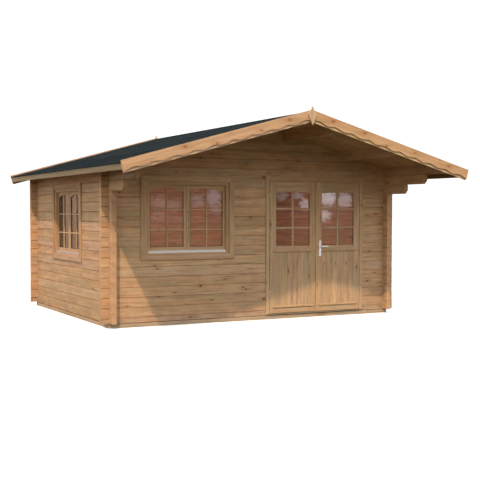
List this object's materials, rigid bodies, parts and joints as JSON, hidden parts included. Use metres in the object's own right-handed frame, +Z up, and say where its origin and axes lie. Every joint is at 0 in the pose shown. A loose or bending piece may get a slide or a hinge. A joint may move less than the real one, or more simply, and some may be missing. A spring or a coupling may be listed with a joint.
{
  "type": "log cottage",
  "caption": "Small gabled log cottage with a deep front canopy on stepped bracket logs, a half-glazed double door, casement windows and a felted roof.",
  "frame": {"origin": "bottom centre of the whole cottage's box, at ground level under the bearers", "axes": "+Z up; -Y out of the front wall, under the canopy; +X to the right as seen from the front"},
  "size_m": [5.22, 5.276, 2.906],
  "materials": {
    "wall_logs": "planed softwood logs, warm tan",
    "trim_timber": "planed softwood boards, light tan",
    "joinery_timber": "planed softwood joinery",
    "roof_boards": "planed softwood boards",
    "floor_boards": "planed softwood boards",
    "treated_timber": "impregnated softwood, slightly green",
    "roof_felt": "mineral-faced bitumen felt, charcoal",
    "window_glass": "clear flat glass",
    "sill_metal": "bright drip profile",
    "handle_steel": "satin",
    "hinge_steel": "zinc plated"
  },
  "bodies": {
    "house": {"back_bargeboards": "trim_timber", "back_log_ends": "wall_logs", "back_wall": "wall_logs", "bearers": "treated_timber", "door_frame": "joinery_timber", "door_threshold": "joinery_timber", "eave_fascias": "trim_timber", "finials": "trim_timber", "floor": "floor_boards", "front_bargeboards": "trim_timber", "front_gable": "wall_logs", "front_wall_left": "wall_logs", "front_wall_middle": "wall_logs", "front_wall_right": "wall_logs", "front_wall_under_window": "wall_logs", "front_window_drip_sill": "sill_metal", "front_window_frame": "joinery_timber", "front_window_glass": "window_glass", "front_window_sashes": "joinery_timber", "gable_backing_boards": "trim_timber", "hinge_frame_halves": "hinge_steel", "left_front_log_ends": "wall_logs", "left_wall_back": "wall_logs", "left_wall_front": "wall_logs", "left_wall_over_window": "wall_logs", "left_wall_under_window": "wall_logs", "purlins": "wall_logs", "right_front_log_ends": "wall_logs", "right_wall": "wall_logs", "roof_boards_left": "roof_boards", "roof_boards_right": "roof_boards", "roofing_felt_left": "roof_felt", "roofing_felt_right": "roof_felt", "side_window_drip_sill": "sill_metal", "side_window_frame": "joinery_timber", "side_window_glass": "window_glass", "side_window_sashes": "joinery_timber"},
    "left_door": {"left_door_leaf": "joinery_timber", "left_door_glass": "window_glass", "left_door_hinges": "hinge_steel"},
    "right_door": {"right_door_leaf": "joinery_timber", "right_door_glass": "window_glass", "right_door_hinges": "hinge_steel", "handle_plate": "handle_steel"},
    "lever": {"lever_handle": "handle_steel"}
  },
  "joints": [
    {"name": "left_door_hinge", "type": "hinge", "parent": "house", "child": "left_door", "pos_m": [0.1655, -1.206, 1], "axis": [0, 0, -1], "range_deg": [0, 170]},
    {"name": "right_door_hinge", "type": "hinge", "parent": "house", "child": "right_door", "pos_m": [1.7405, -1.206, 1], "axis": [0, 0, 1], "range_deg": [0, 118]},
    {"name": "lever_turn", "type": "hinge", "parent": "right_door", "child": "lever", "pos_m": [1.027, -1.224, 1.037], "axis": [0, 1, 0], "range_deg": [0, 40], "stiffness_Nm_per_rad": 1, "springref_deg": -11.46}
  ]
}
